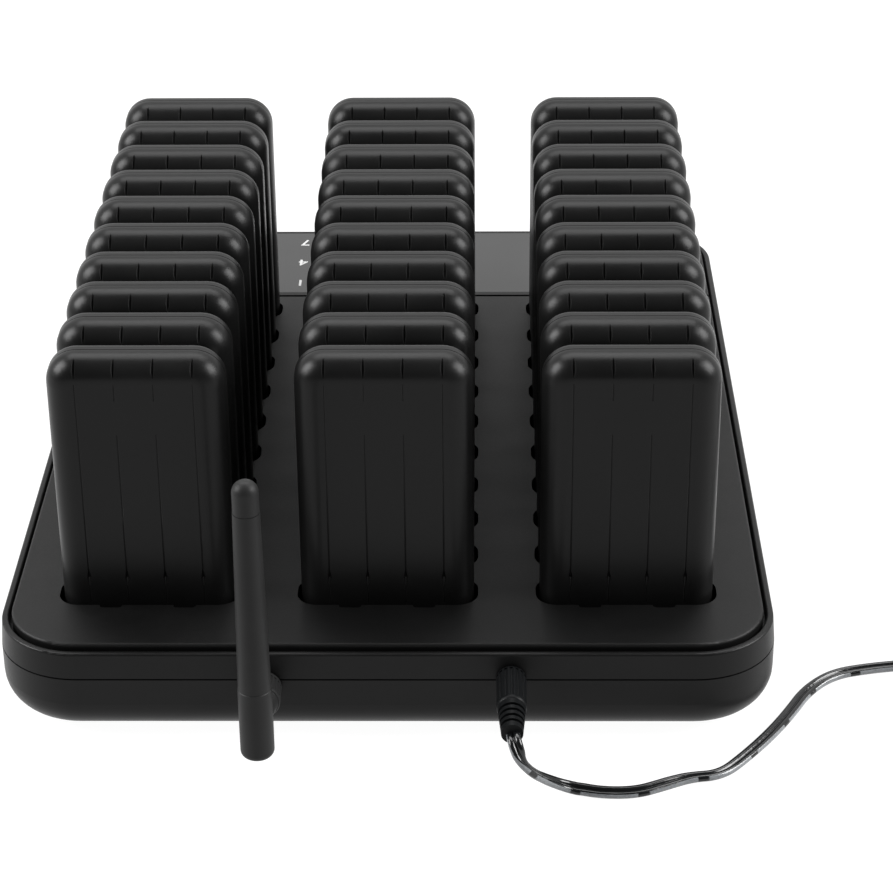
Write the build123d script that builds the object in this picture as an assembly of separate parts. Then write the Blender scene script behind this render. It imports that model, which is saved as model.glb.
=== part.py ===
from build123d import *
import math
import os

# Guest-paging set: a charging and transmitting dock that holds thirty pagers in
# three columns of ten, with a folding antenna and a plugged-in power lead.
#
# Millimetres. +Z is up and Z = 0 is the table. The user stands at the back (+Y), where
# the touch keypad is; the antenna and the power inlet are on the -Y wall. X = 0 is the
# dock's middle, and Y = 0 is halfway between the antenna's front and the dock's back.

# ---- driving dimensions --------------------------------------------------------------

# pager
PAGER_W = 54.0
PAGER_T = 14.0
PAGER_H = 100.0
PAGER_CORNER_R = 9.5
PAGER_FACE_R = 7.5
PAGER_BACK_R = 3.5
PAGER_WALL = 1.6
PARTING_Y = 1.5
PARTING_GAP = 0.3
PARTING_DEPTH = 0.2
GROOVE_X = (-17.7, -5.9, 5.9, 17.7)
FACE_GROOVE_W = 0.6
FACE_GROOVE_DEPTH = 0.2
FACE_GROOVE_FOOT = 16.0
FACE_GROOVE_BREAK = (75.5, 87.0)
LENS_W = 1.3
LENS_DEPTH = 0.8
TOP_LENS_TURNS = (12.0, 64.0)
FOOT_LENS = (21.0, 29.5)
LABEL_D = 30.0
LABEL_RECESS = 0.4
LABEL_Z = 62.0
CONTACT_X = 10.0
CONTACT_Y = -0.5
CONTACT_D = 3.2

# the grid of slots
COLUMNS = 3
ROWS = 10
COLUMN_PITCH = 74.5
ROW_PITCH = 22.67
FIRST_ROW_IN = 34.3
SLOT_W = 56.5
SLOT_T = 16.0
SLOT_R = 6.5
SLOT_DEPTH = 16.3
SLOT_WALL = 1.5
RELIEF_X = 11.5
RELIEF_W = 7.0
RELIEF_T = 1.5
RELIEF_R = 1.2

# dock
DOCK_W = 241.0
DOCK_D = 315.2
DOCK_R = 26.0
FOOT_H = 2.0
BOTTOM_FILLET = 11.5
SEAM_Z = 22.6
RIM_Z = 31.3
DECK_Z = 33.0
RIM_DRAFT = 0.7
RIM_W = 2.2
RIM_GROOVE = 0.9
WALL = 2.2
FLOOR_T = 2.5
LEDGE_Z = 27.6
LEDGE_T = 2.0
LEDGE_W = 5.6
DECK_T = 3.0
DECK_EDGE_R = 0.9
SEAM_GAP = 0.5
KEYPAD_IN = 250.9
KEYPAD_GAP = 1.4
OVERLAY_T = 0.4
OVERLAY_INSET = 2.6
SCREW_X = 37.25
SCREW_IN = (57.0, 157.0, 265.0)
SCREW_D = 3.0
BOSS_D = 9.0
BOSS_TOP = 14.0
BOARD_T = 1.6
MAIN_BOARD_TOP = 24.0

# antenna: its pivot is level with the socket on the front wall
ANT_X = -37.3
ANT_Z = 20.5
ANT_OUT = 25.0
ANT_SLEEVE_D = 10.2
ANT_SLEEVE_BELOW = 7.8
ANT_SLEEVE_TOP = 36.6
ANT_TIP_SEAM = 95.9
ANT_TOP = 106.1
ANT_TIP_D = 7.8
SOCKET_D = 6.35
NUT_D = 11.8
TONGUE_T = 4.0
TONGUE_R = 3.6
HINGE_PIN_D = 2.4
RUNNING = 0.05

# power lead
PLUG_X = 38.3
PLUG_Z = 23.5
PLUG_D = 9.2
PLUG_BODY_L = 17.5
PLUG_RELIEF_L = 12.2
PLUG_WALL_GAP = 0.3
PLUG_END_D = 6.6
BARREL_D = 5.5
BARREL_BORE = 2.1
BARREL_L = 9.5
CORD_D = 4.3
COIL_X = 197.0
COIL_IN = 67.0
COIL_RADII = (26.0, 21.7, 17.4)
COIL_LAYERS = 3
COIL_RISE = 3.8
ENTRY_L = 17.0
ADAPTER = (42.0, 62.0, 28.0)
ADAPTER_RELIEF_L = 12.0
PIN_D = 4.0
PIN_L = 19.0
PIN_SPACING = 18.6

# ---- places worked out from them -----------------------------------------------------

REACH = ANT_OUT + ANT_SLEEVE_D / 2
FRONT = (REACH - DOCK_D) / 2
DOCK_MID = FRONT + DOCK_D / 2
PAGER_BOTTOM = DECK_Z - SLOT_DEPTH + 0.3
SLOT_FLOOR = DECK_Z - SLOT_DEPTH
WELL_BOTTOM = SLOT_FLOOR - SLOT_WALL
DECK_W = DOCK_W - 2 * (RIM_DRAFT + RIM_W + RIM_GROOVE)
DECK_D = DOCK_D - 2 * (RIM_DRAFT + RIM_W + RIM_GROOVE)
DECK_R = DOCK_R - RIM_DRAFT - RIM_W - RIM_GROOVE
KEYPAD_Y = FRONT + KEYPAD_IN
COIL_Y = FRONT + COIL_IN
TOP_LAYER_Z = CORD_D / 2 + (COIL_LAYERS - 1) * COIL_RISE
PLUG_END = FRONT - PLUG_WALL_GAP - PLUG_BODY_L - PLUG_RELIEF_L
JACK_BOTTOM = PLUG_Z - 5.5

# The lead's free route, from the plug's end to the coil: X, distance in from the front
# wall, height of its middle. It drops off the plug and then lies on the table.
ROUTE = (
    (PLUG_X, PLUG_END - FRONT, PLUG_Z),
    (PLUG_X, -34.9, PLUG_Z),
    (40.6, -36.0, 18.0),
    (43.9, -33.8, 12.2),
    (48.9, -29.2, 6.6),
    (56.4, -26.0, CORD_D / 2),
    (65.2, -28.6, CORD_D / 2),
    (75.2, -28.4, CORD_D / 2),
    (83.4, -24.6, CORD_D / 2),
    (91.4, -20.5, CORD_D / 2),
    (101.4, -19.3, CORD_D / 2),
    (109.6, -9.7, CORD_D / 2),
    (118.2, 2.0, CORD_D / 2),
    (125.2, 13.4, CORD_D / 2),
    (131.8, 26.0, CORD_D / 2),
    (141.0, 35.3, CORD_D / 2),
    (152.6, 38.8, CORD_D / 2),
    (166.0, COIL_IN - COIL_RADII[0], CORD_D / 2),
    (COIL_X - ENTRY_L, COIL_IN - COIL_RADII[0], CORD_D / 2),
)


# ---- helpers -------------------------------------------------------------------------


def slab(width, depth, radius, low, high):
    """A rounded rectangle on the dock's middle, from one height to another."""
    outline = Pos(0, DOCK_MID, low) * RectangleRounded(width, depth, radius)
    return extrude(outline, high - low)


def ring(width, depth, radius, inset, low, high):
    """The band between a rounded rectangle and the same one inset."""
    outer = slab(width, depth, radius, low, high)
    inner = slab(
        width - 2 * inset, depth - 2 * inset, radius - inset, low - 1, high + 1
    )
    return outer - inner


def rod(diameter, x, y, low, high):
    return extrude(Pos(x, y, low) * Circle(diameter / 2), high - low)


def rod_y(diameter, x, z, near, far):
    """A rod along Y, from near to far."""
    plane = Plane((x, near, z), x_dir=(1, 0, 0), z_dir=(0, 1, 0))
    return extrude(plane * Circle(diameter / 2), far - near)


def cone_y(near_d, far_d, x, z, near, far):
    start = Plane((x, near, z), x_dir=(1, 0, 0), z_dir=(0, 1, 0))
    end = Plane((x, far, z), x_dir=(1, 0, 0), z_dir=(0, 1, 0))
    return loft([start * Circle(near_d / 2), end * Circle(far_d / 2)])


def flutes(diameter, count, ring_d, x, z, near, far):
    """Rods along Y, evenly spaced on a circle about a Y axis."""
    turns = [2 * math.pi * k / count for k in range(count)]
    return [
        rod_y(
            diameter,
            x + ring_d / 2 * math.cos(turn),
            z + ring_d / 2 * math.sin(turn),
            near,
            far,
        )
        for turn in turns
    ]


def block(low, high):
    size = [b - a for a, b in zip(low, high)]
    return Pos(*low) * Box(*size, align=(Align.MIN, Align.MIN, Align.MIN))


def slot_places():
    """The middle of each slot, row by row from the front and from the left."""
    return [
        ((c - (COLUMNS - 1) / 2) * COLUMN_PITCH, FRONT + FIRST_ROW_IN + r * ROW_PITCH)
        for r in range(ROWS)
        for c in range(COLUMNS)
    ]


def screw_places():
    return [(side * SCREW_X, FRONT + y) for side in (-1, 1) for y in SCREW_IN]


def fillet_radii(points, share=0.45):
    """As large an arc at each corner as its two runs allow."""
    at = [Vector(*p) for p in points]
    radii = []
    for before, here, after in zip(at, at[1:], at[2:]):
        run = min((here - before).length, (after - here).length)
        turn = math.radians((here - before).get_angle(after - here))
        radii.append(share * run / math.tan(turn / 2))
    return radii


def tube(points, radii, diameter):
    path = FilletPolyline(*points, radius=radii)
    section = Plane(path @ 0, z_dir=path % 0) * Circle(diameter / 2)
    made = sweep(section, path=path)
    ideal = math.pi * diameter**2 / 4 * path.length
    print(f"tube {path.length:.1f} long, volume / ideal {made.volume / ideal:.4f}")
    return made


# ---- pager ---------------------------------------------------------------------------


def pager_block(inset):
    """The pager's outside, or the same shape inset, with its bottom middle at 0."""
    outline = Plane.XZ * RectangleRounded(
        PAGER_W - 2 * inset, PAGER_H - 2 * inset, PAGER_CORNER_R - inset
    )
    solid = extrude(outline, PAGER_T / 2 - inset, both=True)
    faces = solid.faces().filter_by(Axis.Y).sort_by(Axis.Y)
    solid = fillet(faces[0].edges(), PAGER_FACE_R - inset)
    back_rim = solid.faces().filter_by(Axis.Y).sort_by(Axis.Y)[-1].edges()
    return Pos(0, 0, PAGER_H / 2) * fillet(back_rim, PAGER_BACK_R - inset)


def face_groove(x, low, high):
    """A shallow V down the face."""
    y = -PAGER_T / 2
    half = FACE_GROOVE_W / 2
    outline = Polyline(
        (x - half, y - 0.001),
        (x, y + FACE_GROOVE_DEPTH),
        (x + half, y - 0.001),
        (x, y - 1),
        close=True,
    )
    return extrude(Pos(0, 0, low) * make_face(outline), high - low)


def top_lens(x):
    """A V cut straight across the rounded top edge, so that it opens like a lens."""
    turns = [math.radians(t) for t in TOP_LENS_TURNS]
    low, high = [
        Vector(
            x,
            -PAGER_T / 2 + PAGER_FACE_R * (1 - math.cos(turn)),
            PAGER_H - PAGER_FACE_R * (1 - math.sin(turn)),
        )
        for turn in turns
    ]
    plane = Plane(low, x_dir=(1, 0, 0), z_dir=high - low)
    tall = 3.0
    wide = tall * LENS_W / 2 / LENS_DEPTH
    across = Polyline((0, 0), (wide, -tall), (-wide, -tall), close=True)
    return extrude(plane * make_face(across), (high - low).length)


def foot_lens(x):
    """A lens-shaped dimple in the face groove near the foot: half of a slim spindle."""
    low, high = FOOT_LENS
    y = -PAGER_T / 2
    outline = Polyline(
        (x, y, low), (x + LENS_W / 2, y, (low + high) / 2), (x, y, high), close=True
    )
    return revolve(make_face(outline), Axis((x, y, low), (0, 0, 1)))


def pager_shells():
    """(face shell, back shell): the two halves of a pager's case."""
    outside = pager_block(0)
    case = outside - pager_block(PAGER_WALL)
    parting = outside - pager_block(PARTING_DEPTH)
    parting &= Pos(0, PARTING_Y, PAGER_H / 2) * Box(
        2 * PAGER_W, PARTING_GAP, 2 * PAGER_H
    )
    case -= parting
    far = 60.0
    front_side = block((-far, -far, -1), (far, PARTING_Y, PAGER_H + 1))
    back_side = block((-far, PARTING_Y, -1), (far, far, PAGER_H + 1))
    bevel_foot = PAGER_H - PAGER_FACE_R
    break_low, break_high = FACE_GROOVE_BREAK
    grooves = []
    for x in GROOVE_X:
        grooves += [top_lens(x), foot_lens(x)]
        if abs(x) < PAGER_W / 4:
            grooves.append(face_groove(x, break_high, bevel_foot))
            grooves.append(face_groove(x, FACE_GROOVE_FOOT, break_low))
        else:
            grooves.append(face_groove(x, FACE_GROOVE_FOOT, bevel_foot))
    contacts = [rod(CONTACT_D, s * CONTACT_X, CONTACT_Y, -1, 4) for s in (-1, 1)]
    label = Plane((0, PAGER_T / 2 - LABEL_RECESS, LABEL_Z), z_dir=(0, 1, 0))
    recess = extrude(label * Circle(LABEL_D / 2), 2)
    face_shell = (case & front_side) - grooves - contacts
    back_shell = (case & back_side) - recess
    return face_shell, back_shell


def pager_board():
    """The circuit board, with its receiver can and its round vibration motor."""
    board = block((-22, -3.0, 8), (22, -1.8, 92))
    can = block((-11, -1.8, 72), (11, 0.6, 90))
    plane = Plane((14, -1.8, 12.5), z_dir=(0, 1, 0))
    motor = extrude(plane * Circle(4.0), 3.0)
    lamps = [block((x - 1, -4.2, 87), (x + 1, -3.0, 90)) for x in (-16, -8, 0, 8, 16)]
    return board + can + motor + lamps


def pager_battery():
    cell = block((-17, -1.4, 20), (17, 4.0, 68))
    return fillet(cell.edges().filter_by(Axis.Z), 1.5)


def pager_contacts():
    return [rod(CONTACT_D, s * CONTACT_X, CONTACT_Y, 0, 3.2) for s in (-1, 1)]


# ---- dock ----------------------------------------------------------------------------


def lower_housing():
    bottom = FOOT_H
    tray = slab(DOCK_W, DOCK_D, DOCK_R, bottom, SEAM_Z)
    tray = fillet(tray.faces().sort_by(Axis.Z)[0].edges(), BOTTOM_FILLET)
    inner_w, inner_d = DOCK_W - 2 * WALL, DOCK_D - 2 * WALL
    hollow = slab(inner_w, inner_d, DOCK_R - WALL, bottom + FLOOR_T, SEAM_Z + 1)
    hollow = fillet(hollow.faces().sort_by(Axis.Z)[0].edges(), BOTTOM_FILLET - WALL)
    tray -= hollow
    lip_t = 1.2
    root = ring(inner_w + 1, inner_d + 1, DOCK_R - WALL + 0.5, lip_t + 0.5, 18.5, 22.0)
    lip = ring(inner_w - 0.2, inner_d - 0.2, DOCK_R - WALL - 0.1, lip_t, 22.0, 24.6)
    tray += [root, lip]
    tray += [rod(BOSS_D, x, y, bottom + 1, BOSS_TOP) for x, y in screw_places()]
    tray += block(
        (PLUG_X - 5, FRONT + 6.5, bottom + 1.6), (PLUG_X + 5, FRONT + 14.5, JACK_BOTTOM)
    )
    for x, y in screw_places():
        tray -= rod(6.2, x, y, bottom - 1, 7)
        tray -= rod(SCREW_D + 0.3, x, y, 0, BOSS_TOP + 1)
    tray -= [rod(14.2, x, y, 0, bottom + 1) for x, y in foot_places()]
    return tray - wall_holes() - seam_line()


def foot_places():
    x = DOCK_W / 2 - 27
    y = DOCK_D / 2 - 27
    return [(sx * x, DOCK_MID + sy * y) for sx in (-1, 1) for sy in (-1, 1)]


def wall_holes():
    """The holes in the front wall for the antenna socket and the power inlet, and the
    room behind them that the inside lip and ledge leave free."""
    near, far = FRONT - 5, FRONT + 4
    antenna = rod_y(SOCKET_D, ANT_X, ANT_Z, near, far)
    jack = rod_y(8.0, PLUG_X, PLUG_Z, near, far)
    hexagon_room = rod_y(10.0, ANT_X, ANT_Z, FRONT + WALL, FRONT + 8)
    jack_room = block(
        (PLUG_X - 6, FRONT + WALL, JACK_BOTTOM), (PLUG_X + 6, FRONT + 18, LEDGE_Z)
    )
    return [antenna, jack, hexagon_room, jack_room]


def seam_line():
    half = SEAM_GAP / 2
    return ring(
        DOCK_W + 4, DOCK_D + 4, DOCK_R + 2, 2 + SEAM_GAP, SEAM_Z - half, SEAM_Z + half
    )


def upper_housing():
    low = Pos(0, DOCK_MID, SEAM_Z) * RectangleRounded(DOCK_W, DOCK_D, DOCK_R)
    high = Pos(0, DOCK_MID, RIM_Z) * RectangleRounded(
        DOCK_W - 2 * RIM_DRAFT, DOCK_D - 2 * RIM_DRAFT, DOCK_R - RIM_DRAFT
    )
    wall = loft([low, high], ruled=True)
    mouth_inset = RIM_DRAFT + RIM_W
    wall -= slab(
        DOCK_W - 2 * mouth_inset,
        DOCK_D - 2 * mouth_inset,
        DOCK_R - mouth_inset,
        LEDGE_Z,
        RIM_Z + 1,
    )
    ledge_inset = mouth_inset + LEDGE_W
    wall -= slab(
        DOCK_W - 2 * ledge_inset,
        DOCK_D - 2 * ledge_inset,
        DOCK_R - ledge_inset,
        SEAM_Z - 1,
        RIM_Z + 1,
    )
    wall -= slab(
        DOCK_W - 2 * WALL,
        DOCK_D - 2 * WALL,
        DOCK_R - WALL,
        SEAM_Z - 1,
        LEDGE_Z - LEDGE_T,
    )
    wall = fillet(wall.edges().group_by(Axis.Z)[-1], 0.8)
    return wall - wall_holes() - seam_line()


def deck_plate():
    """The whole raised deck, before it is parted into slot deck and keypad panel."""
    plate = slab(DECK_W, DECK_D, DECK_R, LEDGE_Z, DECK_Z)
    plate = fillet(plate.faces().sort_by(Axis.Z)[-1].edges(), DECK_EDGE_R)
    skirt = 4.0
    return plate - slab(
        DECK_W - 2 * skirt,
        DECK_D - 2 * skirt,
        DECK_R - skirt,
        LEDGE_Z - 1,
        DECK_Z - DECK_T,
    )


def deck_bosses(places):
    top = DECK_Z - DECK_T + 0.5
    posts = [rod(7.0, x, y, BOSS_TOP, top) for x, y in places]
    bores = [rod(SCREW_D, x, y, BOSS_TOP - 1, 25) for x, y in places]
    return posts, bores


def slot_deck():
    far = 400.0
    deck = deck_plate() & block((-far, -far, 0), (far, KEYPAD_Y - KEYPAD_GAP, far))
    wells, cuts = [], []
    for x, y in slot_places():
        outer = RectangleRounded(
            SLOT_W + 2 * SLOT_WALL, SLOT_T + 2 * SLOT_WALL, SLOT_R + SLOT_WALL
        )
        top = DECK_Z - DECK_T + 0.5
        wells.append(extrude(Pos(x, y, WELL_BOTTOM) * outer, top - WELL_BOTTOM))
        inner = Pos(x, y, SLOT_FLOOR) * RectangleRounded(SLOT_W, SLOT_T, SLOT_R)
        cuts.append(extrude(inner, SLOT_DEPTH + 1))
        for side in (-1, 1):
            edge = y - SLOT_T / 2
            middle = x + side * RELIEF_X
            notch = block(
                (middle - RELIEF_W / 2, edge - RELIEF_T, DECK_Z - 6),
                (middle + RELIEF_W / 2, edge + 1, DECK_Z + 1),
            )
            corners = notch.edges().filter_by(Axis.Z).group_by(Axis.Y)[0]
            cuts.append(fillet(corners, RELIEF_R))
            pin_x = x + side * CONTACT_X
            cuts.append(rod(2.6, pin_x, y + CONTACT_Y, WELL_BOTTOM - 1, SLOT_FLOOR + 1))
    posts, bores = deck_bosses([p for p in screw_places() if p[1] < KEYPAD_Y])
    deck += wells + posts
    return deck - cuts - bores


def keypad_outline(low, high, inset):
    far = 400.0
    plate = slab(
        DECK_W - 2 * inset, DECK_D - 2 * inset, max(DECK_R - inset, 2), low, high
    )
    return plate & block((-far, KEYPAD_Y + inset, 0), (far, far, far))


def keypad_panel():
    far = 400.0
    panel = deck_plate() & block((-far, KEYPAD_Y, 0), (far, far, far))
    posts, bores = deck_bosses([p for p in screw_places() if p[1] > KEYPAD_Y])
    board_y = (KEYPAD_Y + FRONT + DOCK_D) / 2 - 3
    legs = [
        rod(5.0, sx * 92, board_y + sy * 18, MAIN_BOARD_TOP, DECK_Z - DECK_T + 0.5)
        for sx in (-1, 1)
        for sy in (-1, 1)
    ]
    panel += posts + legs
    panel -= bores
    return panel - keypad_outline(DECK_Z - OVERLAY_T, DECK_Z + 1, OVERLAY_INSET)


def keypad_overlay():
    return keypad_outline(DECK_Z - OVERLAY_T, DECK_Z, OVERLAY_INSET)


def main_board():
    """The board under the keypad: radio can, processor and lead socket on one card."""
    middle = (KEYPAD_Y + FRONT + DOCK_D) / 2 - 3
    top = MAIN_BOARD_TOP
    board = block((-100, middle - 22, top - BOARD_T), (100, middle + 22, top))
    radio_can = block(
        (-88, middle - 14, top - BOARD_T - 4), (-58, middle + 6, top - BOARD_T)
    )
    chip = block((-6, middle - 6, top - BOARD_T - 1.4), (6, middle + 6, top - BOARD_T))
    board += [radio_can, chip]
    return board - [rod(BOSS_D, x, y, 10, 30) for x, y in screw_places()]


def charge_boards():
    """One long card under each column of slots."""
    near = FRONT + FIRST_ROW_IN - SLOT_T / 2 - 2
    far = FRONT + FIRST_ROW_IN + (ROWS - 1) * ROW_PITCH + SLOT_T / 2 + 2
    cards = []
    for c in range(COLUMNS):
        x = (c - (COLUMNS - 1) / 2) * COLUMN_PITCH
        cards.append(
            block((x - 22, near, WELL_BOTTOM - BOARD_T), (x + 22, far, WELL_BOTTOM))
        )
    return cards


def charge_pins():
    top = PAGER_BOTTOM - 0.15
    return [
        rod(2.0, x + side * CONTACT_X, y + CONTACT_Y, WELL_BOTTOM, top)
        for x, y in slot_places()
        for side in (-1, 1)
    ]


def dc_jack():
    """The power inlet: body behind the wall, round snout in it, and a centre pin."""
    body = block(
        (PLUG_X - 5.5, FRONT + WALL + 0.1, JACK_BOTTOM),
        (PLUG_X + 5.5, FRONT + 16, LEDGE_Z - 0.2),
    )
    body += rod_y(7.9, PLUG_X, PLUG_Z, FRONT + 0.4, FRONT + 5)
    reach = FRONT + BARREL_L + 1.0
    body -= rod_y(BARREL_D + 2 * RUNNING, PLUG_X, PLUG_Z, FRONT - 1, reach)
    pin = rod_y(BARREL_BORE - 2 * RUNNING, PLUG_X, PLUG_Z, FRONT + 2.0, reach + 1)
    return body + pin


def antenna_socket():
    """The threaded socket through the wall, with its hexagon inside."""
    stem = rod_y(SOCKET_D, ANT_X, ANT_Z, FRONT - 7.5, FRONT + 12)
    plane = Plane((ANT_X, FRONT + WALL, ANT_Z), x_dir=(1, 0, 0), z_dir=(0, 1, 0))
    hexagon = extrude(plane * RegularPolygon(4.6, 6), 4.0)
    return stem + hexagon


def housing_screws():
    screws = []
    for x, y in screw_places():
        head = rod(5.6, x, y, 4.8, 7.0)
        drive = rod(2.4, x, y, 4.0, 6.0)
        screws.append(head + rod(SCREW_D, x, y, 7.0, 24.0) - drive)
    return screws


def rubber_feet():
    feet = []
    for x, y in foot_places():
        pad = rod(14.0, x, y, 0, FOOT_H + 1)
        feet.append(chamfer(pad.faces().sort_by(Axis.Z)[0].edges(), 0.6))
    return feet


def internal_wiring():
    """The antenna's coaxial lead and the power wires, from the front wall to the
    main board, along the two gaps between the columns."""
    board_y = (KEYPAD_Y + FRONT + DOCK_D) / 2 - 30
    coax = [
        (ANT_X, FRONT + 12, ANT_Z),
        (ANT_X, FRONT + 20, ANT_Z),
        (ANT_X + 1, FRONT + 28, 9),
        (ANT_X + 8.5, FRONT + 48, 8),
        (ANT_X + 8.5, board_y - 20, 8),
        (ANT_X + 6, board_y + 6, 10),
        (ANT_X + 6, board_y + 6, MAIN_BOARD_TOP - BOARD_T),
    ]
    power = [
        (PLUG_X, FRONT + 16, PLUG_Z),
        (PLUG_X, FRONT + 23, PLUG_Z),
        (PLUG_X - 1, FRONT + 31, 9),
        (PLUG_X - 8.5, FRONT + 50, 8),
        (PLUG_X - 8.5, board_y - 20, 8),
        (PLUG_X - 6, board_y + 6, 10),
        (PLUG_X - 6, board_y + 6, MAIN_BOARD_TOP - BOARD_T),
    ]
    return [tube(coax, 3.5, 1.8), tube(power, 3.5, 2.4)]


# ---- antenna -------------------------------------------------------------------------

PIVOT_Y = FRONT - ANT_OUT


def antenna_nut():
    """The knurled sleeve that turns on the socket."""
    near = FRONT - 9.0
    sleeve = rod_y(NUT_D, ANT_X, ANT_Z, near, FRONT - 0.4)
    sleeve = chamfer(sleeve.edges().filter_by(GeomType.CIRCLE), 0.4)
    sleeve -= flutes(1.0, 24, NUT_D + 0.5, ANT_X, ANT_Z, near + 1.5, near + 7.0)
    return sleeve - rod_y(SOCKET_D + 2 * RUNNING, ANT_X, ANT_Z, near + 1.2, FRONT)


def antenna_knuckle():
    """The tapered neck and the flat tongue that the whip folds on."""
    neck = cone_y(8.4, 10.6, ANT_X, ANT_Z, FRONT - 14.0, FRONT - 9.0)
    half = TONGUE_T / 2
    tongue = block(
        (ANT_X - half, PIVOT_Y, ANT_Z - TONGUE_R),
        (ANT_X + half, FRONT - 13.0, ANT_Z + TONGUE_R),
    )
    side = Plane((ANT_X - half, PIVOT_Y, ANT_Z), z_dir=(1, 0, 0))
    tongue += extrude(side * Circle(TONGUE_R), TONGUE_T)
    hole = extrude(
        Plane((ANT_X - 5, PIVOT_Y, ANT_Z), z_dir=(1, 0, 0))
        * Circle(HINGE_PIN_D / 2 + RUNNING),
        10,
    )
    return neck + tongue - hole


def hinge_pin():
    length = 8.6
    plane = Plane((ANT_X - length / 2, PIVOT_Y, ANT_Z), z_dir=(1, 0, 0))
    return extrude(plane * Circle(HINGE_PIN_D / 2), length)


def antenna_sleeve():
    """The whip's foot: a round sleeve, slotted at the back and below for the tongue."""
    low = ANT_Z - ANT_SLEEVE_BELOW
    sleeve = rod(ANT_SLEEVE_D, ANT_X, PIVOT_Y, low, ANT_SLEEVE_TOP)
    sleeve = fillet(sleeve.edges().group_by(Axis.Z)[0], 2.2)
    sleeve = chamfer(sleeve.edges().group_by(Axis.Z)[-1], 0.25)
    half = TONGUE_T / 2 + 0.15
    room = TONGUE_R + 0.2
    sleeve -= block(
        (ANT_X - half, PIVOT_Y - room, low - 1),
        (ANT_X + half, PIVOT_Y + 8, ANT_Z + room),
    )
    sleeve -= rod(6.6, ANT_X, PIVOT_Y, ANT_SLEEVE_TOP - 7.5, ANT_SLEEVE_TOP + 1)
    return sleeve - hinge_pin()


def antenna_whip():
    low = Pos(ANT_X, PIVOT_Y, ANT_SLEEVE_TOP) * Circle(ANT_SLEEVE_D / 2 - 0.15)
    high = Pos(ANT_X, PIVOT_Y, ANT_TIP_SEAM) * Circle(ANT_TIP_D / 2 + 0.1)
    whip = loft([low, high])
    return whip + rod(6.6, ANT_X, PIVOT_Y, ANT_SLEEVE_TOP - 7.5, ANT_SLEEVE_TOP + 1)


def antenna_tip():
    tip = rod(ANT_TIP_D, ANT_X, PIVOT_Y, ANT_TIP_SEAM, ANT_TOP)
    tip = fillet(tip.edges().group_by(Axis.Z)[-1], ANT_TIP_D / 2 - 0.25)
    return chamfer(tip.edges().group_by(Axis.Z)[0], 0.15)


# ---- power lead ----------------------------------------------------------------------


def plug_shell():
    """The moulded plug: a fluted grip, then a tapered relief with ribs."""
    start = FRONT - PLUG_WALL_GAP
    grip_end = start - PLUG_BODY_L
    grip = rod_y(PLUG_D, PLUG_X, PLUG_Z, grip_end, start)
    rims = grip.edges().filter_by(GeomType.CIRCLE).sort_by(Axis.Y)
    grip = fillet(rims[0], 1.6)
    grip = fillet(grip.edges().filter_by(GeomType.CIRCLE).sort_by(Axis.Y)[-1], 0.7)
    grip -= flutes(1.5, 16, PLUG_D + 0.7, PLUG_X, PLUG_Z, grip_end + 2, start - 1)
    relief = cone_y(PLUG_END_D, PLUG_D - 0.6, PLUG_X, PLUG_Z, PLUG_END, grip_end + 0.5)
    for k in range(4):
        at = grip_end - 1.6 - 2.5 * k
        cut = rod_y(20, PLUG_X, PLUG_Z, at - 1.1, at)
        keep = rod_y(5.4, PLUG_X, PLUG_Z, at - 2, at + 1)
        relief -= cut - keep
    return grip + relief - plug_bore()


def plug_bore():
    """The hole that the barrel is moulded into."""
    start = FRONT - PLUG_WALL_GAP
    return rod_y(BARREL_D, PLUG_X, PLUG_Z, start - 6, start + 1)


def plug_barrel():
    start = FRONT - PLUG_WALL_GAP
    tip = FRONT + BARREL_L
    barrel = rod_y(BARREL_D, PLUG_X, PLUG_Z, start - 6, tip)
    return barrel - rod_y(BARREL_BORE, PLUG_X, PLUG_Z, FRONT + 1.0, tip + 1)


def power_cord():
    points = [(x, FRONT + y, z) for x, y, z in ROUTE]
    radii = fillet_radii(points)
    print("cord arc radii:", " ".join(f"{r:.1f}" for r in radii))
    return tube(points, radii, CORD_D)


def cord_coil():
    """The outer shape of the wound lead, with its two ends leaving along tangents."""
    outer = COIL_RADII[0] + CORD_D / 2 + 0.3
    inner = COIL_RADII[-1] - CORD_D / 2 - 0.3
    top = TOP_LAYER_Z + CORD_D / 2 + 0.2
    low = 0.5
    band = Pos(COIL_X, COIL_Y, low) * (Circle(outer) - Circle(inner))
    coil = extrude(band, top - low)
    coil = fillet(coil.edges().group_by(Axis.Z)[-1], 1.6)
    entry = Plane(
        (COIL_X - ENTRY_L, COIL_Y - COIL_RADII[0], CORD_D / 2), z_dir=(1, 0, 0)
    )
    coil += extrude(entry * Circle(CORD_D / 2), ENTRY_L)
    leaving = rod_y(
        CORD_D, COIL_X + COIL_RADII[0], TOP_LAYER_Z, COIL_Y, COIL_Y + ENTRY_L
    )
    return coil + leaving


ADAPTER_Y = COIL_Y + ENTRY_L + 14 + ADAPTER_RELIEF_L
ADAPTER_X = COIL_X + COIL_RADII[0]


def cord_tail():
    near = COIL_Y + ENTRY_L
    far = ADAPTER_Y - ADAPTER_RELIEF_L
    return rod_y(CORD_D, ADAPTER_X, TOP_LAYER_Z, near, far)


def adapter_body():
    wide, long, tall = ADAPTER
    body = block(
        (ADAPTER_X - wide / 2, ADAPTER_Y, 0),
        (ADAPTER_X + wide / 2, ADAPTER_Y + long, tall),
    )
    body = fillet(body.edges().filter_by(Axis.Z), 7.0)
    body = fillet(body.edges().group_by(Axis.Z)[0], 3.0)
    body = fillet(body.edges().group_by(Axis.Z)[-1], 2.0)
    relief = cone_y(
        5.0, 7.4, ADAPTER_X, TOP_LAYER_Z, ADAPTER_Y - ADAPTER_RELIEF_L, ADAPTER_Y + 1
    )
    return body + relief


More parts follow.
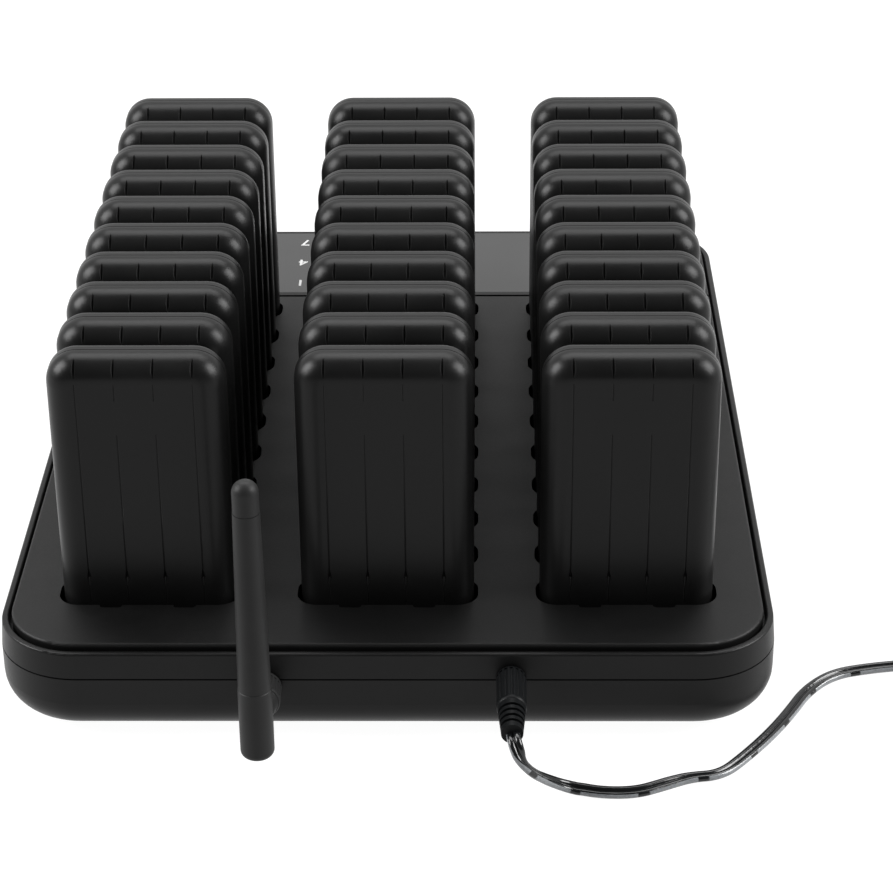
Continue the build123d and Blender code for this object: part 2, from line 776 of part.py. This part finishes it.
def adapter_pins():
    """Two round wall-socket pins."""
    y = ADAPTER_Y + ADAPTER[1] / 2
    pins = []
    for side in (-1, 1):
        x = ADAPTER_X + side * PIN_SPACING / 2
        pin = rod(PIN_D, x, y, ADAPTER[2], ADAPTER[2] + PIN_L)
        pins.append(fillet(pin.edges().group_by(Axis.Z)[-1], 1.2))
    return pins


# ---- write the files -----------------------------------------------------------------


def write(name, shape):
    solids = []
    for piece in shape if isinstance(shape, list) else [shape]:
        solids += piece.solids()
    made = solids[0] if len(solids) == 1 else Compound(solids)
    export_step(made, f"parts/{name}.step")


def write_pagers():
    """Pager 2 has a node for each piece; each other pager is one node of pieces."""
    face_shell, back_shell = pager_shells()
    pieces = {
        "face_shell": [face_shell],
        "back_shell": [back_shell],
        "circuit_board": [pager_board()],
        "battery": [pager_battery()],
        "charge_contacts": pager_contacts(),
    }
    for number, (x, y) in enumerate(slot_places(), start=1):
        place = Pos(x, y, PAGER_BOTTOM)
        if number == 2:
            for piece, solids in pieces.items():
                write(f"pager_02_{piece}", [place * s for s in solids])
        else:
            every = [place * s for solids in pieces.values() for s in solids]
            write(f"pager_{number:02d}", every)


def main():
    os.makedirs("parts", exist_ok=True)
    for maker in (
        lower_housing,
        upper_housing,
        slot_deck,
        keypad_panel,
        keypad_overlay,
        main_board,
        charge_boards,
        charge_pins,
        dc_jack,
        antenna_socket,
        housing_screws,
        rubber_feet,
        internal_wiring,
        antenna_nut,
        antenna_knuckle,
        antenna_sleeve,
        antenna_whip,
        antenna_tip,
        plug_shell,
        plug_barrel,
        power_cord,
        cord_coil,
        cord_tail,
        adapter_body,
        adapter_pins,
    ):
        write(maker.__name__, maker())
    write("antenna_hinge_pin", hinge_pin())
    write_pagers()


main()
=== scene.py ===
"""Looks for the guest-paging set: a charging dock, thirty pagers, an antenna and a power lead."""

import math

import bpy
from mathutils import Matrix, Vector


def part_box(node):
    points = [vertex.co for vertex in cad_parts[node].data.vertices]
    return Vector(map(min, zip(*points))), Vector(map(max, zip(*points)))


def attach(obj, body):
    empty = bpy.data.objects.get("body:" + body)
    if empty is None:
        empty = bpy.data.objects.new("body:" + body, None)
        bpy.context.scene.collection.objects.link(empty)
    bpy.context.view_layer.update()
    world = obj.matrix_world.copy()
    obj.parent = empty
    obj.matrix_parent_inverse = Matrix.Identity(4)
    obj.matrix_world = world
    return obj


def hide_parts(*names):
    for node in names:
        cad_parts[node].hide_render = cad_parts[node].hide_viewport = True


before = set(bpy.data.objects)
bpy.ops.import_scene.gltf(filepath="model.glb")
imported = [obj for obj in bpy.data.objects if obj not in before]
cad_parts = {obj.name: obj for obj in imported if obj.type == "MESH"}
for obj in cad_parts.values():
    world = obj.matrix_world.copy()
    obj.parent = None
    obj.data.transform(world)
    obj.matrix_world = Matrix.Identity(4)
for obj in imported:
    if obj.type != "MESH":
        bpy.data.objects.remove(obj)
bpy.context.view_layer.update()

MM = 0.001
ROWS = 10
COLUMNS = 3
DOCK_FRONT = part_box("upper_housing")[0].y


# ---------------------------------------------------------------- camera

CAMERA_EYE = Vector((29.4, -820.6, 473.1)) * MM
CAMERA_DOWN = math.radians(28.6)
CAMERA_LEFT = math.radians(0.86)
CAMERA_ROLL = math.radians(-0.46)
CAMERA_LENS = 107.6
SENSOR_WIDTH = 36.0


def make_camera():
    """A long lens in front of the dock, a little right of its middle, looking down on it."""
    data = bpy.data.cameras.new("camera")
    data.lens = CAMERA_LENS
    data.sensor_width = SENSOR_WIDTH
    camera = bpy.data.objects.new("camera", data)
    turn = Matrix.Rotation(CAMERA_LEFT, 4, "Z")
    tilt = Matrix.Rotation(math.pi / 2 - CAMERA_DOWN, 4, "X")
    roll = Matrix.Rotation(CAMERA_ROLL, 4, "Z")
    camera.matrix_world = Matrix.Translation(CAMERA_EYE) @ (turn @ tilt) @ roll
    bpy.context.scene.collection.objects.link(camera)
    bpy.context.scene.camera = camera


make_camera()


# ---------------------------------------------------------------- material graphs


class Graph:
    """Short words for building one material's nodes."""

    def __init__(self, name):
        self.material = bpy.data.materials.new(name)
        self.material.use_nodes = True
        self.tree = self.material.node_tree
        self.shader = self.tree.nodes["Principled BSDF"]

    def node(self, kind, links=None, **settings):
        """A node with its settings, and its inputs set by name to a value or to another socket."""
        made = self.tree.nodes.new("ShaderNode" + kind)
        for name, value in settings.items():
            setattr(made, name, value)
        for name, value in (links or {}).items():
            self.feed(made.inputs[name], value)
        return made

    def feed(self, socket, value):
        if isinstance(value, bpy.types.NodeSocket):
            self.tree.links.new(value, socket)
        else:
            socket.default_value = value

    def place(self):
        """Where the surface is, in metres, in the piece's own space."""
        return self.node("TexCoord").outputs["Object"]

    def noise(self, scale, detail=2.0, roughness=0.5, vector=None):
        links = {
            "Scale": scale,
            "Detail": detail,
            "Roughness": roughness,
            "Vector": vector or self.place(),
        }
        return self.node("TexNoise", links).outputs["Fac"]

    def ramp(self, value, low, high, start, end):
        """value, from low to high, becomes a number from start to end."""
        links = {"Value": value, "From Min": low, "From Max": high, "To Min": start, "To Max": end}
        return self.node("MapRange", links).outputs["Result"]

    def math(self, operation, first, second=0.0, third=0.0):
        made = self.node("Math", operation=operation)
        for socket, value in zip(made.inputs, (first, second, third)):
            self.feed(socket, value)
        return made.outputs[0]

    def mix(self, factor, first, second):
        """Two colours, blended by factor."""
        made = self.node("Mix", data_type="RGBA")
        self.feed(made.inputs[0], factor)
        self.feed(made.inputs[6], first)
        self.feed(made.inputs[7], second)
        return made.outputs[2]

    def bump(self, height, distance, strength=1.0, under=None):
        links = {"Height": height, "Distance": distance, "Strength": strength}
        if under is not None:
            links["Normal"] = under
        return self.node("Bump", links).outputs["Normal"]

    def finish(self, **inputs):
        for name, value in inputs.items():
            self.feed(self.shader.inputs[name.replace("_", " ")], value)
        return self.material


def grey(level, warmth=0.0):
    """A colour with a touch of red over blue, as an RGBA tuple."""
    return (level * (1 + warmth), level, level * (1 - warmth), 1.0)


def moulded_plastic(name, level, gloss, roughness, grain, grain_depth, warmth=0.0):
    """Black moulding with a fine spark-eroded grain, faint flow mottling and slightly uneven sheen.

    grain is the size of the texture and grain_depth its height, both in metres.
    """
    g = Graph(name)
    flow = g.noise(38.0, 4.0, 0.6)
    fine = g.noise(1.0 / grain, 2.0, 0.6)
    dust = g.noise(1500.0, 1.0, 0.4)
    shade = g.ramp(flow, 0.3, 0.7, 0.0, 1.0)
    colour = g.mix(shade, grey(level * 0.86, warmth), grey(level * 1.16, warmth))
    specks = g.ramp(dust, 0.74, 0.80, 0.0, 0.35)
    colour = g.mix(specks, colour, grey(level * 2.2, warmth))
    sheen = g.math("ADD", g.ramp(flow, 0.3, 0.7, -0.03, 0.03), g.ramp(fine, 0.3, 0.7, -0.03, 0.05))
    return g.finish(
        Base_Color=colour,
        Roughness=g.math("ADD", sheen, roughness),
        Specular_IOR_Level=gloss,
        Normal=g.bump(fine, grain_depth),
    )


def glossy_film():
    """Hard-coated touch film: black, mirror smooth, with faint wiping marks."""
    g = Graph("keypad_film")
    wipe = g.noise(22.0, 5.0, 0.65)
    return g.finish(
        Base_Color=g.mix(g.ramp(wipe, 0.35, 0.65, 0.0, 1.0), grey(0.006), grey(0.009)),
        Roughness=g.ramp(wipe, 0.3, 0.7, 0.07, 0.15),
        Specular_IOR_Level=0.45,
        Normal=g.bump(g.noise(60.0, 2.0), 0.00001),
    )


def printed_ink(name, level):
    """Screen-print ink with a slightly ragged density."""
    g = Graph(name)
    grain = g.noise(5200.0, 3.0, 0.7)
    return g.finish(
        Base_Color=g.mix(
            g.ramp(grain, 0.35, 0.65, 0.0, 1.0), grey(level * 0.87), grey(level * 1.13)
        ),
        Roughness=g.ramp(grain, 0.3, 0.7, 0.38, 0.55),
        Specular_IOR_Level=0.4,
    )


def cord_vinyl():
    """Glossy black vinyl twin cord, with a printed grey mark along one strand.

    The mesh's UV map holds the distance along the cord and the place round it.
    """
    g = Graph("cord_vinyl")
    uv = g.node("UVMap", uv_map="cord").outputs["UV"]
    split = g.node("SeparateXYZ", {"Vector": uv})
    along, around = split.outputs["X"], split.outputs["Y"]
    off_stripe = g.math("ABSOLUTE", g.math("SUBTRACT", around, STRIPE_AROUND))
    in_stripe = g.ramp(off_stripe, STRIPE_HALF_WIDTH, STRIPE_HALF_WIDTH + STRIPE_SOFT, 1.0, 0.0)
    phase = g.math("MODULO", g.math("ADD", along, STRIPE_START), STRIPE_PITCH)
    in_dash = g.ramp(phase, STRIPE_GAP, STRIPE_GAP * 1.15, 0.0, 1.0)
    worn = g.ramp(g.noise(1600.0, 3.0, 0.7), 0.3, 0.7, 0.55, 1.0)
    print_ink = g.math("MULTIPLY", g.math("MULTIPLY", in_stripe, in_dash), worn)
    ripple = g.noise(260.0, 3.0, 0.6)
    return g.finish(
        Base_Color=g.mix(print_ink, grey(0.004, -0.08), grey(0.20, -0.04)),
        Roughness=g.ramp(ripple, 0.3, 0.7, 0.12, 0.20),
        Specular_IOR_Level=0.42,
        Normal=g.bump(ripple, 0.00012),
    )


def metal(name, colour, roughness, turned=True):
    """Plated metal with fine turning or plating marks."""
    g = Graph(name)
    place = g.place()
    if turned:
        mapping = g.node("Mapping", {"Vector": place, "Scale": (1.0, 18.0, 1.0)})
        stretched = mapping.outputs["Vector"]
    else:
        stretched = place
    marks = g.noise(900.0, 3.0, 0.6, stretched)
    dark = tuple(c * 0.8 for c in colour[:3]) + (1.0,)
    return g.finish(
        Base_Color=g.mix(g.ramp(marks, 0.3, 0.7, 0.0, 1.0), dark, colour),
        Metallic=1.0,
        Roughness=g.ramp(marks, 0.3, 0.7, roughness * 0.8, roughness * 1.25),
        Normal=g.bump(marks, 0.00001),
    )


def circuit_laminate():
    """Green solder mask with faint copper runs under it."""
    g = Graph("circuit_board")
    runs = g.node(
        "TexBrick",
        {
            "Vector": g.place(),
            "Scale": 260.0,
            "Mortar Size": 0.04,
            "Color1": grey(0.0),
            "Color2": grey(0.2),
        },
    ).outputs["Color"]
    return g.finish(
        Base_Color=g.mix(runs, (0.006, 0.045, 0.020, 1.0), (0.015, 0.085, 0.040, 1.0)),
        Roughness=g.ramp(g.noise(800.0), 0.3, 0.7, 0.28, 0.42),
    )


def soft_rubber(name, level):
    """Matt rubber or wrap, with a powdery bloom."""
    g = Graph(name)
    bloom = g.noise(700.0, 4.0, 0.7)
    return g.finish(
        Base_Color=g.mix(g.ramp(bloom, 0.35, 0.65, 0.0, 1.0), grey(level * 0.8), grey(level * 1.3)),
        Roughness=g.ramp(bloom, 0.3, 0.7, 0.68, 0.85),
        Specular_IOR_Level=0.25,
        Normal=g.bump(bloom, 0.00004),
    )


STRIPE_AROUND = 0.015
STRIPE_HALF_WIDTH = 0.056
STRIPE_SOFT = 0.014
STRIPE_PITCH = 20 * MM
STRIPE_GAP = 3.2 * MM
STRIPE_START = 19.4 * MM

MATERIALS = {
    "pager_plastic": moulded_plastic("pager_plastic", 0.0040, 0.15, 0.33, 0.00035, 0.000010),
    "housing_plastic": moulded_plastic("housing_plastic", 0.0045, 0.15, 0.36, 0.00045, 0.000018),
    "deck_plastic": moulded_plastic("deck_plastic", 0.0016, 0.19, 0.50, 0.00045, 0.000015),
    "keypad_film": glossy_film(),
    "antenna_plastic": moulded_plastic("antenna_plastic", 0.011, 0.14, 0.45, 0.00030, 0.000018),
    "plug_plastic": moulded_plastic("plug_plastic", 0.0030, 0.10, 0.42, 0.00030, 0.000012, -0.10),
    "cord_sheath": cord_vinyl(),
    "adapter_plastic": moulded_plastic("adapter_plastic", 0.006, 0.16, 0.45, 0.00045, 0.000025),
    "circuit_board": circuit_laminate(),
    "gold_contact": metal("gold_contact", (0.83, 0.58, 0.24, 1.0), 0.22, False),
    "nickel": metal("nickel", (0.62, 0.60, 0.56, 1.0), 0.20),
    "foot_rubber": soft_rubber("foot_rubber", 0.014),
    "battery_wrap": soft_rubber("battery_wrap", 0.05),
}
INK = printed_ink("printed_ink", 0.60)
KEY_INK = printed_ink("key_ink", 0.35)


# ---------------------------------------------------------------- power lead

STRAND_RADIUS = 1.10 * MM
STRAND_OFFSET = 1.05 * MM
FLAT_Z = 1.25

# Centreline from inside the plug to where the lead reaches the coil: X, distance in from
# the dock's front wall, and height.
CORD_ROUTE = [
    (38.3, -22.0, 23.5),
    (38.4, -29.6, 23.5),
    (39.2, -33.8, 22.4),
    (40.9, -35.4, 17.4),
    (44.2, -33.4, 12.0),
    (48.9, -28.9, 6.2),
    (55.8, -25.8, FLAT_Z),
    (65.0, -28.5, FLAT_Z),
    (75.2, -28.4, FLAT_Z),
    (83.4, -24.6, FLAT_Z),
    (91.4, -20.5, FLAT_Z),
    (101.4, -19.3, FLAT_Z),
    (109.6, -9.7, FLAT_Z),
    (118.2, 2.0, FLAT_Z),
    (125.2, 13.4, FLAT_Z),
    (131.8, 26.0, FLAT_Z),
    (141.0, 35.3, FLAT_Z),
    (152.6, 38.8, FLAT_Z),
    (166.0, 41.0, FLAT_Z),
    (180.0, 41.0, 1.6),
]

COIL_MIDDLE = Vector((197.0 * MM, DOCK_FRONT + 67.0 * MM, 0.0))
COIL_TURNS = [
    (26.0, 2.1),
    (21.7, 2.1),
    (17.4, 2.1),
    (17.4, 5.9),
    (21.7, 5.9),
    (26.0, 5.9),
    (26.0, 9.6),
    (26.0, 9.75),
]
COIL_LAST_TURN = 0.25
COIL_POINTS = 16
COIL_SPLINE_GAIN = 1.017
COIL_SHIFT = 0.35


def smooth_step(value):
    value = min(1.0, max(0.0, value))
    return value * value * (3 - 2 * value)


def coil_points():
    """Neat turns, three to a layer, wound from outside in and back, then up to the top layer."""
    points = []
    steps = round((len(COIL_TURNS) - 1 + COIL_LAST_TURN) * COIL_POINTS)
    for step in range(steps + 1):
        turn = step / COIL_POINTS
        now = min(int(turn), len(COIL_TURNS) - 1)
        after = min(now + 1, len(COIL_TURNS) - 1)
        share = smooth_step((turn - now - 1 + COIL_SHIFT) / COIL_SHIFT)
        radius = COIL_TURNS[now][0] * (1 - share) + COIL_TURNS[after][0] * share
        height = COIL_TURNS[now][1] * (1 - share) + COIL_TURNS[after][1] * share
        angle = 2 * math.pi * turn - math.pi / 2
        out = Vector((math.cos(angle), math.sin(angle), 0.0)) * radius * COIL_SPLINE_GAIN
        points.append(COIL_MIDDLE + (out + Vector((0.0, 0.0, height))) * MM)
    return points


def lead_points():
    """The whole lead's control points, from inside the plug to inside the adapter's relief."""
    points = [Vector((x * MM, DOCK_FRONT + inward * MM, z * MM)) for x, inward, z in CORD_ROUTE]
    points += coil_points()
    adapter_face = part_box("adapter_body")[0]
    tail_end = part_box("cord_tail")
    middle = (tail_end[0] + tail_end[1]) / 2
    for y in (tail_end[0].y + 2 * MM, tail_end[1].y, tail_end[1].y + 10.5 * MM):
        points.append(Vector((middle.x, y, middle.z)))
    assert points[-1].y > adapter_face.y
    return points


def spline_line(name, points):
    """The points that a smooth NURBS spline through the route gives."""
    curve = bpy.data.curves.new(name, "CURVE")
    curve.dimensions = "3D"
    curve.resolution_u = 12
    spline = curve.splines.new("NURBS")
    spline.points.add(len(points) - 1)
    for slot, point in zip(spline.points, points):
        slot.co = (*point, 1.0)
    spline.order_u = 3
    spline.use_endpoint_u = True
    holder = bpy.data.objects.new(name, curve)
    mesh = bpy.data.meshes.new_from_object(holder)
    line = [vertex.co.copy() for vertex in mesh.vertices]
    bpy.data.objects.remove(holder)
    bpy.data.meshes.remove(mesh)
    return line


def twin_profile(count):
    """Two strands side by side, joined at the waist: (sideways, up, place round it) points."""
    outline = []
    for step in range(count):
        angle = 2 * math.pi * step / count
        across, up = math.cos(angle), math.sin(angle)
        reach = STRAND_OFFSET * abs(across)
        reach += math.sqrt(STRAND_RADIUS**2 - (STRAND_OFFSET * up) ** 2)
        outline.append((reach * across, reach * up, step / count))
    return outline


def tube_mesh(name, line, outline, roll_at):
    """A closed tube with that outline along a line, with the distance along it in its UV map."""
    vertices, faces, uvs = [], [], []
    count = len(outline)
    along = 0.0
    distances = []
    for index, point in enumerate(line):
        if index:
            along += (point - line[index - 1]).length
        distances.append(along)
        ahead = line[min(index + 1, len(line) - 1)] - line[max(index - 1, 0)]
        tangent = ahead.normalized()
        side = tangent.cross(Vector((0.0, 0.0, 1.0))).normalized()
        up = side.cross(tangent)
        roll = roll_at(point)
        resting = STRAND_RADIUS + STRAND_OFFSET * abs(math.sin(roll))
        point = Vector((point.x, point.y, max(point.z, resting)))
        side, up = (
            side * math.cos(roll) + up * math.sin(roll),
            up * math.cos(roll) - side * math.sin(roll),
        )
        for across, high, _ in outline:
            vertices.append(point + side * across + up * high)
    for ring in range(len(line) - 1):
        for step in range(count):
            after = (step + 1) % count
            base = ring * count
            faces.append((base + step, base + after, base + count + after, base + count + step))
            for s, end in ((step, 0), (step + 1, 0), (step + 1, 1), (step, 1)):
                place = (s / count + 0.5) % 1.0 - 0.5 if s % count else 0.0
                uvs.append((distances[ring + end], place))
    faces.append(tuple(reversed(range(count))))
    faces.append(tuple(range((len(line) - 1) * count, len(line) * count)))
    uvs += [(0.0, 0.5)] * count + [(along, 0.5)] * count
    mesh = bpy.data.meshes.new(name)
    mesh.from_pydata(vertices, [], faces)
    layer = mesh.uv_layers.new(name="cord")
    for loop, uv in zip(layer.data, uvs):
        loop.uv = uv
    mesh.polygons.foreach_set("use_smooth", [True] * len(mesh.polygons))
    mesh.update()
    return mesh, along


def link(name, mesh, material):
    piece = bpy.data.objects.new(name, mesh)
    if material is not None:
        mesh.materials.append(material)
    bpy.context.scene.collection.objects.link(piece)
    return piece


# How far the flat lead leans over, in degrees, at some places along X: one way as it drops
# from the plug, nearly flat from the kink on, and up on edge as it joins the coil.
LEAN = [
    (38.0, -20.0),
    (47.0, -22.0),
    (56.0, -18.0),
    (66.0, -14.0),
    (84.0, -14.0),
    (95.0, 4.0),
    (101.0, 6.0),
    (108.0, 0.0),
    (134.0, -6.0),
    (168.0, -4.0),
    (182.0, 42.0),
]


def cord_roll(point):
    """The lead's lean at a point, in radians, eased between the places in LEAN."""
    x = point.x / MM
    lean = LEAN[0][1] if x < LEAN[0][0] else LEAN[-1][1]
    for (start, first), (end, last) in zip(LEAN, LEAN[1:]):
        if start <= x < end:
            lean = first + (last - first) * smooth_step((x - start) / (end - start))
    return math.radians(lean)


def make_lead():
    line = spline_line("lead_route", lead_points())
    mesh, length = tube_mesh("power_lead_flex", line, twin_profile(28), cord_roll)
    flex = link("power_lead_flex", mesh, MATERIALS["cord_sheath"])
    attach(flex, "power_lead")
    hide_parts("power_cord", "cord_coil", "cord_tail")


make_lead()


# ---------------------------------------------------------------- CAD nodes


def dress_nodes():
    """Every carried-over CAD node takes the procedural material of its own slot."""
    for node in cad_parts.values():
        for slot in node.material_slots:
            slot.link = "DATA"
            name = slot.material.name.split(".")[0]
            slot.material = MATERIALS[name]


dress_nodes()


# ---------------------------------------------------------------- printed numbers


def text_mesh(name, words, height, thickness, bolder=0.0):
    """Flat numerals with a real thickness, centred on the origin, facing +Z."""
    curve = bpy.data.curves.new(name, "FONT")
    curve.body = words
    curve.align_x = "CENTER"
    curve.align_y = "CENTER"
    curve.size = height * 1.4
    curve.extrude = thickness / 2
    curve.offset = bolder
    curve.resolution_u = 4
    holder = bpy.data.objects.new(name, curve)
    mesh = bpy.data.meshes.new_from_object(holder)
    bpy.data.objects.remove(holder)
    return mesh


def ring_mesh(name, radius, width, thickness, count=64):
    """A flat printed ring facing +Z, centred on the origin."""
    vertices, faces = [], []
    for step in range(count):
        angle = 2 * math.pi * step / count
        for reach in (radius - width / 2, radius + width / 2):
            for z in (-thickness / 2, thickness / 2):
                vertices.append((reach * math.cos(angle), reach * math.sin(angle), z))
    for step in range(count):
        a, b = 4 * step, 4 * ((step + 1) % count)
        faces += [
            (a + 1, a + 3, b + 3, b + 1),
            (a, b, b + 2, a + 2),
            (a + 2, b + 2, b + 3, a + 3),
            (a, a + 1, b + 1, b),
        ]
    mesh = bpy.data.meshes.new(name)
    mesh.from_pydata(vertices, [], faces)
    return mesh


def pager_boxes():
    """Number, body name, lowest and highest corner of each pager."""
    for number in range(1, ROWS * COLUMNS + 1):
        body = f"pager_{number:02d}"
        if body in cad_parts:
            yield number, body, *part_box(body)
        else:
            low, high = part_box(body + "_face_shell")
            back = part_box(body + "_back_shell")
            yield number, body, Vector(map(min, low, back[0])), Vector(map(max, high, back[1]))


LABEL_HEIGHT = 62.0 * MM
LABEL_RADIUS = 14.7 * MM
LABEL_SINK = 0.4 * MM
LABEL_THICK = 0.3 * MM
INK_THICK = 0.05 * MM
RING_WIDTH = 0.5 * MM
NUMBER_HEIGHT = 9 * MM


def label_disc(name, radius, thickness, count=72):
    """A domed label disc facing +Z with a softened rim."""
    rings = [(0.0, 1.0), (0.55, 0.98), (0.90, 0.92), (0.975, 0.80), (1.0, 0.45), (1.0, 0.0)]
    vertices = [(0.0, 0.0, thickness)]
    for share, height in rings[1:]:
        for step in range(count):
            angle = 2 * math.pi * step / count
            reach = radius * share
            vertices.append((reach * math.cos(angle), reach * math.sin(angle), thickness * height))
    faces = [(0, 1 + step, 1 + (step + 1) % count) for step in range(count)]
    for ring in range(len(rings) - 2):
        inner, outer = 1 + ring * count, 1 + (ring + 1) * count
        for step in range(count):
            after = (step + 1) % count
            faces.append((inner + step, outer + step, outer + after, inner + after))
    last = 1 + (len(rings) - 2) * count
    faces.append(tuple(last + step for step in reversed(range(count))))
    mesh = bpy.data.meshes.new(name)
    mesh.from_pydata(vertices, [], faces)
    mesh.polygons.foreach_set("use_smooth", [len(p.vertices) < 5 for p in mesh.polygons])
    return mesh


def number_pagers():
    """Each pager's back has a domed black label with a printed ring and its own number."""
    disc = label_disc("pager_label", LABEL_RADIUS, LABEL_THICK)
    disc.materials.append(MATERIALS["keypad_film"])
    ring = ring_mesh("pager_label_ring", LABEL_RADIUS * 0.86, RING_WIDTH, INK_THICK)
    ring.materials.append(INK)
    for number, body, low, high in pager_boxes():
        seat = Vector(((low.x + high.x) / 2, high.y - LABEL_SINK, low.z + LABEL_HEIGHT))
        facing_back = Matrix.Rotation(math.pi, 4, "Z") @ Matrix.Rotation(math.pi / 2, 4, "X")
        label = link(f"{body}_label", disc, None)
        label.matrix_world = Matrix.Translation(seat) @ facing_back
        digits = text_mesh(f"{body}_number", str(number), NUMBER_HEIGHT, INK_THICK)
        ink = link(f"{body}_number", digits, INK)
        lift = Vector((0.0, LABEL_THICK, 0.0))
        ink.matrix_world = Matrix.Translation(seat + lift) @ facing_back
        band = link(f"{body}_label_ring", ring, None)
        band.matrix_world = Matrix.Translation(seat + lift * 0.94) @ facing_back
        for piece in (label, ink, band):
            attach(piece, body)


number_pagers()


# The user stands past the keypad, at the +Y end, so rows are listed from the far side as
# seen from there, and columns from the user's left, which is towards +X.
KEY_ROWS = (119.6, 138.5, 157.4)
KEY_COLUMNS = (-41.0, -60.0, -79.0)
KEY_WORDS = (("1", "2", "3"), ("4", "5", "6"), ("7", "8", "9"))
ZERO_COLUMN = -98.0
KEY_HEIGHT = 5.2 * MM
KEY_BOLDER = 0.1 * MM


def keypad_places():
    """Each digit with where its middle is, in millimetres."""
    for y, words in zip(KEY_ROWS, KEY_WORDS):
        for x, word in zip(KEY_COLUMNS, words):
            yield word, x, y
    yield "0", ZERO_COLUMN, KEY_ROWS[1]


def print_keypad():
    """Digits of the touch keypad, printed on the film so that they read from the keypad end."""
    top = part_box("keypad_overlay")[1].z
    for word, x, y in keypad_places():
        name = f"keypad_digit_{word}"
        mesh = text_mesh(name, word, KEY_HEIGHT, INK_THICK, KEY_BOLDER)
        key = link(name, mesh, KEY_INK)
        seat = Matrix.Translation((x * MM, y * MM, top + INK_THICK * 0.3))
        key.matrix_world = seat @ Matrix.Rotation(math.pi, 4, "Z")
        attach(key, "dock")


print_keypad()


# ---------------------------------------------------------------- studio


def make_floor():
    """A white sweep, bright enough to read as pure white."""
    half = 3.0
    corners = [(-half, -half, 0), (half, -half, 0), (half, half, 0), (-half, half, 0)]
    mesh = bpy.data.meshes.new("studio_floor")
    mesh.from_pydata(corners, [], [(0, 1, 2, 3)])
    g = Graph("studio_floor")
    g.finish(
        Base_Color=grey(0.10),
        Roughness=0.9,
        Specular_IOR_Level=0.0,
        Emission_Color=grey(1.0),
        Emission_Strength=0.97,
    )
    floor = link("studio_floor", mesh, g.material)
    floor.location.z = -0.0002


def soft_light(name, place, aim, width, height, power):
    data = bpy.data.lights.new(name, "AREA")
    data.shape = "RECTANGLE"
    data.size = width
    data.size_y = height
    data.energy = power
    lamp = bpy.data.objects.new(name, data)
    lamp.location = place
    lamp.rotation_mode = "QUATERNION"
    lamp.rotation_quaternion = (Vector(aim) - Vector(place)).to_track_quat("-Z", "Y")
    bpy.context.scene.collection.objects.link(lamp)
    return lamp


# The sky's strength as (from, to, strength at from, strength at to): first by how far back a
# direction points, then a share of that by how high it points.
WORLD_BY_DEPTH = (-0.5, 0.6, 0.10, 1.15)
WORLD_BY_HEIGHT = (0.80, 0.95, 1.0, 0.25)


def make_world():
    """White studio: bright behind, darker on the camera's side and straight overhead."""
    world = bpy.data.worlds.new("studio")
    world.use_nodes = True
    bpy.context.scene.world = world
    tree = world.node_tree
    place = tree.nodes.new("ShaderNodeTexCoord")
    split = tree.nodes.new("ShaderNodeSeparateXYZ")
    tree.links.new(place.outputs["Generated"], split.inputs[0])
    shade = tree.nodes.new("ShaderNodeMapRange")
    for socket, value in zip(shade.inputs[1:5], WORLD_BY_DEPTH):
        socket.default_value = value
    tree.links.new(split.outputs["Y"], shade.inputs[0])
    zenith = tree.nodes.new("ShaderNodeMapRange")
    for socket, value in zip(zenith.inputs[1:5], WORLD_BY_HEIGHT):
        socket.default_value = value
    tree.links.new(split.outputs["Z"], zenith.inputs[0])
    both = tree.nodes.new("ShaderNodeMath")
    both.operation = "MULTIPLY"
    tree.links.new(shade.outputs[0], both.inputs[0])
    tree.links.new(zenith.outputs[0], both.inputs[1])
    background = tree.nodes["Background"]
    tree.links.new(both.outputs[0], background.inputs["Strength"])
    background.inputs["Color"].default_value = grey(1.0)


make_floor()
make_world()
AIM = (0.0, 0.0, 0.08)
soft_light("overhead_softbox", (0.0, 0.52, 1.42), AIM, 1.6, 0.8, 23.0)
soft_light("left_softbox", (-1.26, -0.20, 0.88), AIM, 0.85, 0.85, 38.0)
soft_light("right_softbox", (1.26, -0.20, 0.88), AIM, 0.85, 0.85, 38.0)

view = bpy.context.scene.view_settings
view.view_transform = "Standard"
view.look = "None"
